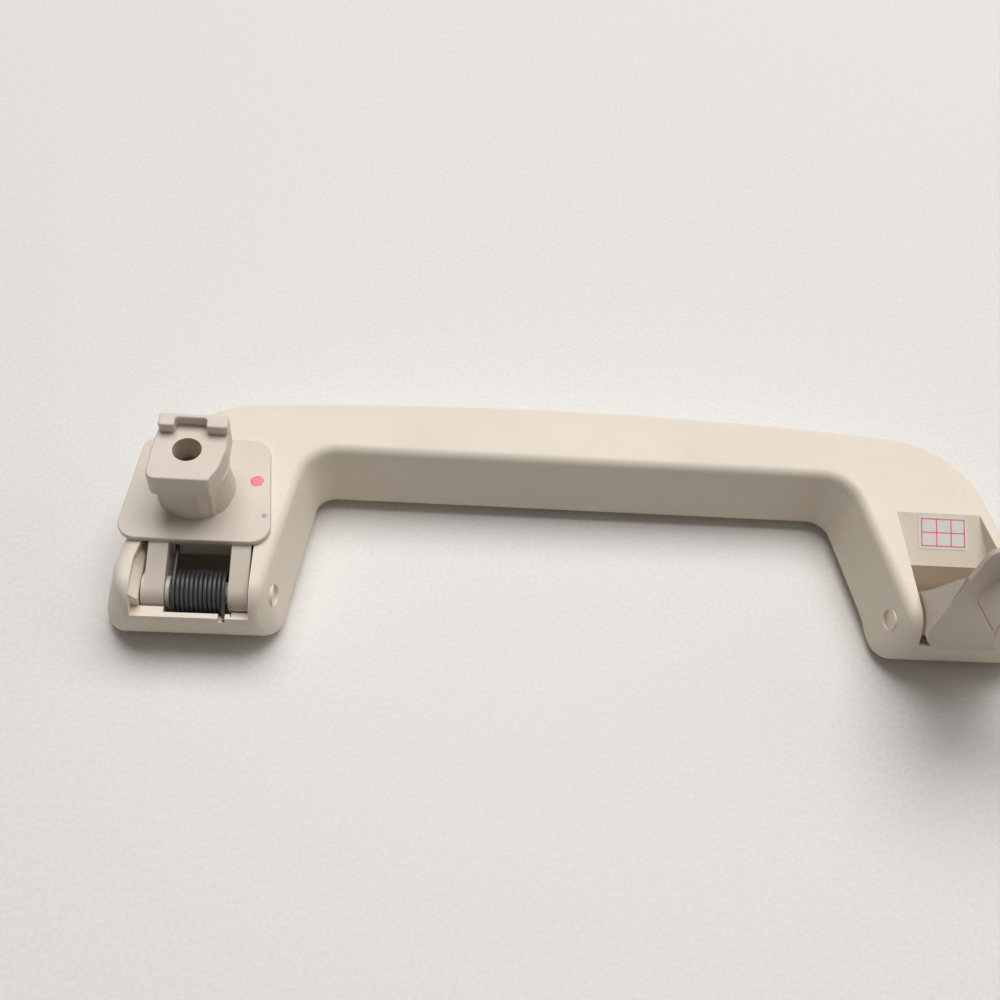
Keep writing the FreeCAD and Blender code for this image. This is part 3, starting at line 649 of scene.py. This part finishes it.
class HANDLE_OT_stage(bpy.types.Operator):
    """Floor, lamps, room light and camera"""

    bl_idname = "handle.stage"
    bl_label = "Stage"

    def execute(self, context):
        settings = context.scene.handle_stage
        floor_mesh = bpy.data.meshes.new("table_top")
        reach = settings.floor_reach
        floor_mesh.from_pydata(
            [(-reach, -reach, 0), (reach, -reach, 0), (reach, reach, 0), (-reach, reach, 0)],
            [], [(0, 1, 2, 3)])
        floor = linked("table_top", floor_mesh)
        put_material(floor, soft_film(
            "table_paint", settings.floor_colour, rough=0.5, fibre_scale=900.0, depth=0.01 * MM))
        self.lamp("key_lamp", settings.key_power, settings.key_place, settings.key_size)
        self.lamp("side_lamp", settings.side_power, settings.side_place, settings.side_size)
        context.scene.world = self.room(settings)
        data = bpy.data.cameras.new("camera")
        data.lens = settings.lens
        data.sensor_width = 36.0
        data.clip_start = 0.01
        camera = bpy.data.objects.new("camera", data)
        pitch, yaw, roll = settings.camera_turn
        turn = (Matrix.Rotation(-yaw, 4, "Z") @ Matrix.Rotation(math.pi / 2 - pitch, 4, "X")
                @ Matrix.Rotation(-roll, 4, "Z"))
        camera.matrix_world = Matrix.Translation(settings.camera_place) @ turn
        context.scene.collection.objects.link(camera)
        context.scene.camera = camera
        context.scene.view_settings.view_transform = "Standard"
        return {"FINISHED"}

    def room(self, settings):
        """Even dim light, which looks as pale as the floor to the camera and in reflections."""
        world = bpy.data.worlds.new("room")
        world.use_nodes = True
        tree = world.node_tree
        tree.nodes.clear()
        sky = add_node(
            tree, "ShaderNodeBackground", (0, 100), Color=DAYLIGHT, Strength=settings.sky_strength)
        pale = add_node(tree, "ShaderNodeBackground", (0, -60), Color=shade(settings.floor_colour, 1.0))
        path = add_node(tree, "ShaderNodeLightPath", (-500, 300))
        seen = add_node(tree, "ShaderNodeMath", (-300, 300), operation="MAXIMUM")
        tree.links.new(path.outputs["Is Camera Ray"], seen.inputs[0])
        tree.links.new(path.outputs["Is Glossy Ray"], seen.inputs[1])
        through = add_node(tree, "ShaderNodeMath", (-120, 300), operation="MAXIMUM")
        tree.links.new(seen.outputs["Value"], through.inputs[0])
        tree.links.new(path.outputs["Is Transmission Ray"], through.inputs[1])
        mixed = add_node(tree, "ShaderNodeMixShader", (220, 60))
        tree.links.new(through.outputs["Value"], mixed.inputs["Fac"])
        tree.links.new(sky.outputs["Background"], mixed.inputs[1])
        tree.links.new(pale.outputs["Background"], mixed.inputs[2])
        output = add_node(tree, "ShaderNodeOutputWorld", (420, 60))
        tree.links.new(mixed.outputs["Shader"], output.inputs["Surface"])
        return world

    def lamp(self, name, power, place, size):
        """A soft rectangular lamp that points at the handle."""
        data = bpy.data.lights.new(name, "AREA")
        data.shape = "RECTANGLE"
        data.size, data.size_y = size
        data.energy = power
        lamp = bpy.data.objects.new(name, data)
        turn = (-Vector(place)).to_track_quat("-Z", "Y").to_matrix().to_4x4()
        lamp.matrix_world = Matrix.Translation(place) @ turn
        bpy.context.scene.collection.objects.link(lamp)


class HANDLE_OT_body(bpy.types.Operator):
    """Moulded body in matt beige plastic"""

    bl_idname = "handle.body"
    bl_label = "Body"

    def execute(self, context):
        colours = context.scene.handle_colours
        body = fine_copy("handle_body", "body_moulding")
        soften_foot(body, context.scene.handle_sizes)
        smooth_shallow(body)
        plastic = moulded_plastic(
            "body_plastic", colours.body,
            rough=0.50, grain_scale=2600.0, grain_depth=0.03 * MM, mottle=0.02)
        finish_piece(body, "handle", "body", plastic, "handle_body")
        for node in ("left_pin_plug", "right_pin_plug"):
            put_material(frame["nodes"][node], moulded_plastic(
                node + "_plastic", colours.body,
                rough=0.46, grain_scale=2600.0, grain_depth=0.02 * MM, mottle=0.02))
        return {"FINISHED"}


class HANDLE_OT_brackets(bpy.types.Operator):
    """Both brackets in greyer plastic"""

    bl_idname = "handle.brackets"
    bl_label = "Brackets"

    def execute(self, context):
        colours = context.scene.handle_colours
        plastic = moulded_plastic(
            "bracket_plastic", colours.bracket,
            rough=0.44, grain_scale=2200.0, grain_depth=0.02 * MM, mottle=0.03)
        for side in ("left", "right"):
            bracket = fine_copy(side + "_bracket", side + "_bracket_moulding")
            cut_away(bracket, boss_trimmer(side, context.scene.handle_sizes))
            smooth_shallow(bracket)
            finish_piece(bracket, side + "_mount", "bracket", plastic, side + "_bracket")
        return {"FINISHED"}


class HANDLE_OT_hinges(bpy.types.Operator):
    """Hinge pins, spring bush and damper"""

    bl_idname = "handle.hinges"
    bl_label = "Hinge parts"

    def execute(self, context):
        colours = context.scene.handle_colours
        nodes = frame["nodes"]
        steel = drawn_metal("pin_steel", colours.pin, rough=0.30, metallic=1.0, streak_scale=3000.0)
        put_material(nodes["left_pin"], steel)
        put_material(nodes["right_pin"], steel)
        put_material(nodes["spring_bush"], moulded_plastic(
            "bush_plastic", colours.bush,
            rough=0.35, grain_scale=3500.0, grain_depth=0.01 * MM, mottle=0.02))
        barrel = moulded_plastic(
            "damper_plastic", colours.damper,
            rough=0.38, grain_scale=3000.0, grain_depth=0.01 * MM, mottle=0.04)
        put_material(nodes["damper_housing"], barrel)
        put_material(nodes["damper_cap"], barrel)
        put_material(nodes["damper_rotor"], moulded_plastic(
            "rotor_plastic", colours.rotor,
            rough=0.35, grain_scale=3000.0, grain_depth=0.01 * MM, mottle=0.03))
        put_material(nodes["damper_seal"], soft_film(
            "seal_rubber", colours.seal, rough=0.6, fibre_scale=2500.0, depth=0.01 * MM))
        return {"FINISHED"}


class HANDLE_OT_spring(bpy.types.Operator):
    """Close-wound torsion spring of black wire"""

    bl_idname = "handle.spring"
    bl_label = "Torsion spring"

    def execute(self, context):
        sizes = context.scene.handle_sizes
        low, high = (Vector(corner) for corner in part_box("torsion_spring"))
        radius = sizes.coil_radius
        wire = sizes.wire_radius
        front_leg_y = low.y + wire - HINGE.y
        front_leg_z = sizes.front_leg_rise
        reach = math.hypot(front_leg_y, front_leg_z)
        start_angle = math.atan2(front_leg_z, front_leg_y) - math.acos(radius / reach)
        turns = sizes.coil_turns + (start_angle - math.pi / 2) / (2 * math.pi)
        along = Vector((-1, 0, 0))
        out = Vector((0, math.cos(start_angle), math.sin(start_angle)))
        side = along.cross(out)
        place = Vector((high.x - wire, HINGE.y, HINGE.z))
        turn = Matrix((out, side, along)).transposed().to_euler()
        first = place + out * radius
        last = place + along * turns * sizes.coil_pitch + Vector((0, 0, radius))
        advance = along * (sizes.coil_pitch / (2 * math.pi * radius))
        values = {
            "Turns": turns,
            "Coil radius": radius,
            "Coil length": turns * sizes.coil_pitch,
            "Wire radius": wire,
            "Place": place,
            "Turn": turn,
            "Front leg tip": first - (side + advance) * math.sqrt(reach ** 2 - radius ** 2),
            "Front leg root": first,
            "Rear leg root": last,
            "Rear leg tip": last + Vector((advance.x, 1, 0)) * (high.y - HINGE.y),
        }
        finish = drawn_metal(
            "spring_steel", context.scene.handle_colours.spring,
            rough=0.42, metallic=0.55, streak_scale=5000.0)
        tree, sockets = spring_tree(finish)
        spring = mesh_from_tree("spring_wire", tree, sockets, values)
        finish_piece(spring, "handle", "spring", finish, "torsion_spring")
        return {"FINISHED"}


class HANDLE_OT_marks(bpy.types.Operator):
    """Paint dots of the inspector on the left bracket's plate"""

    bl_idname = "handle.marks"
    bl_label = "Paint dots"

    def execute(self, context):
        sizes = context.scene.handle_sizes
        colours = context.scene.handle_colours
        up = Vector((0, 0, 1))
        small_radius = sizes.dot_radius * sizes.small_dot_share
        for name, place, radius, colour in (
                ("red_dot", sizes.dot_place, sizes.dot_radius, colours.paint),
                ("grey_dot", sizes.small_dot_place, small_radius, colours.grey_paint)):
            work = bmesh.new()
            centre = Vector((place[0], HINGE.y + place[1], sizes.plate_top))
            droplet(work, centre, radius, sizes.dot_height, up, Vector((1, 0, 0)))
            for face in work.faces:
                face.smooth = True
            paint = soft_film(name + "_paint", colour, rough=0.4, fibre_scale=1500.0, depth=0.01 * MM)
            finish_piece(new_piece(work, name), "left_mount", "bracket", paint)
        return {"FINISHED"}


class HANDLE_OT_label(bpy.types.Operator):
    """Paper label with plain printed rules"""

    bl_idname = "handle.label"
    bl_label = "Label"

    def execute(self, context):
        colours = context.scene.handle_colours
        sizes = context.scene.handle_sizes
        put_material(frame["nodes"]["inspection_label"], soft_film(
            "label_paper", colours.paper, rough=0.62, fibre_scale=1800.0, depth=0.01 * MM))
        low, high = (Vector(corner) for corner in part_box("inspection_label"))
        along = Vector((1, 0, 0))
        slope = Vector((0, high.y - low.y, high.z - low.z - sizes.paper_thickness))
        across = slope.normalized()
        normal = along.cross(across)
        rule = sizes.rule_width
        margin = sizes.label_margin
        length = high.x - low.x - 2 * margin
        depth = slope.length - 2 * margin
        corner = Vector((low.x, low.y, low.z + sizes.paper_thickness)) + along * margin + across * margin
        work = bmesh.new()
        height = sizes.rule_height
        for step in (0.0, depth * 0.5 - rule / 2, depth - rule):
            strip(work, corner + across * step, along, across, normal, length, rule, height)
        for step in (0.0, *(length * share for share in RULE_SHARES), length - rule):
            strip(work, corner + along * step, along, across, normal, rule, depth, height)
        ink = soft_film("label_ink", colours.paint, rough=0.5, fibre_scale=2500.0, depth=0.005 * MM)
        finish_piece(new_piece(work, "label_rules"), "handle", "paper", ink)
        return {"FINISHED"}


class HANDLE_PT_sidebar(bpy.types.Panel):
    """Lists the handle's settings and operators"""

    bl_label = "Grab handle"
    bl_idname = "HANDLE_PT_sidebar"
    bl_space_type = "VIEW_3D"
    bl_region_type = "UI"
    bl_category = "Grab handle"

    def draw(self, context):
        layout = self.layout
        for name, group in SETTINGS.items():
            box = layout.box()
            for label in group.__annotations__:
                box.prop(getattr(context.scene, name), label)
        for operator in OPERATORS:
            layout.operator(operator.bl_idname)


OPERATORS = (
    HANDLE_OT_stage,
    HANDLE_OT_body,
    HANDLE_OT_brackets,
    HANDLE_OT_hinges,
    HANDLE_OT_spring,
    HANDLE_OT_marks,
    HANDLE_OT_label,
)


def register():
    for group in SETTINGS.values():
        bpy.utils.register_class(group)
    for operator in OPERATORS:
        bpy.utils.register_class(operator)
    bpy.utils.register_class(HANDLE_PT_sidebar)
    for name, group in SETTINGS.items():
        setattr(bpy.types.Scene, name, bpy.props.PointerProperty(type=group))


def unregister():
    for name in SETTINGS:
        delattr(bpy.types.Scene, name)
    bpy.utils.unregister_class(HANDLE_PT_sidebar)
    for operator in reversed(OPERATORS):
        bpy.utils.unregister_class(operator)
    for group in reversed(SETTINGS.values()):
        bpy.utils.unregister_class(group)


def main():
    register()
    bpy.ops.handle.stage()
    bpy.ops.handle.body()
    bpy.ops.handle.brackets()
    bpy.ops.handle.hinges()
    bpy.ops.handle.spring()
    bpy.ops.handle.marks()
    bpy.ops.handle.label()


if __name__ == "__main__":
    main()
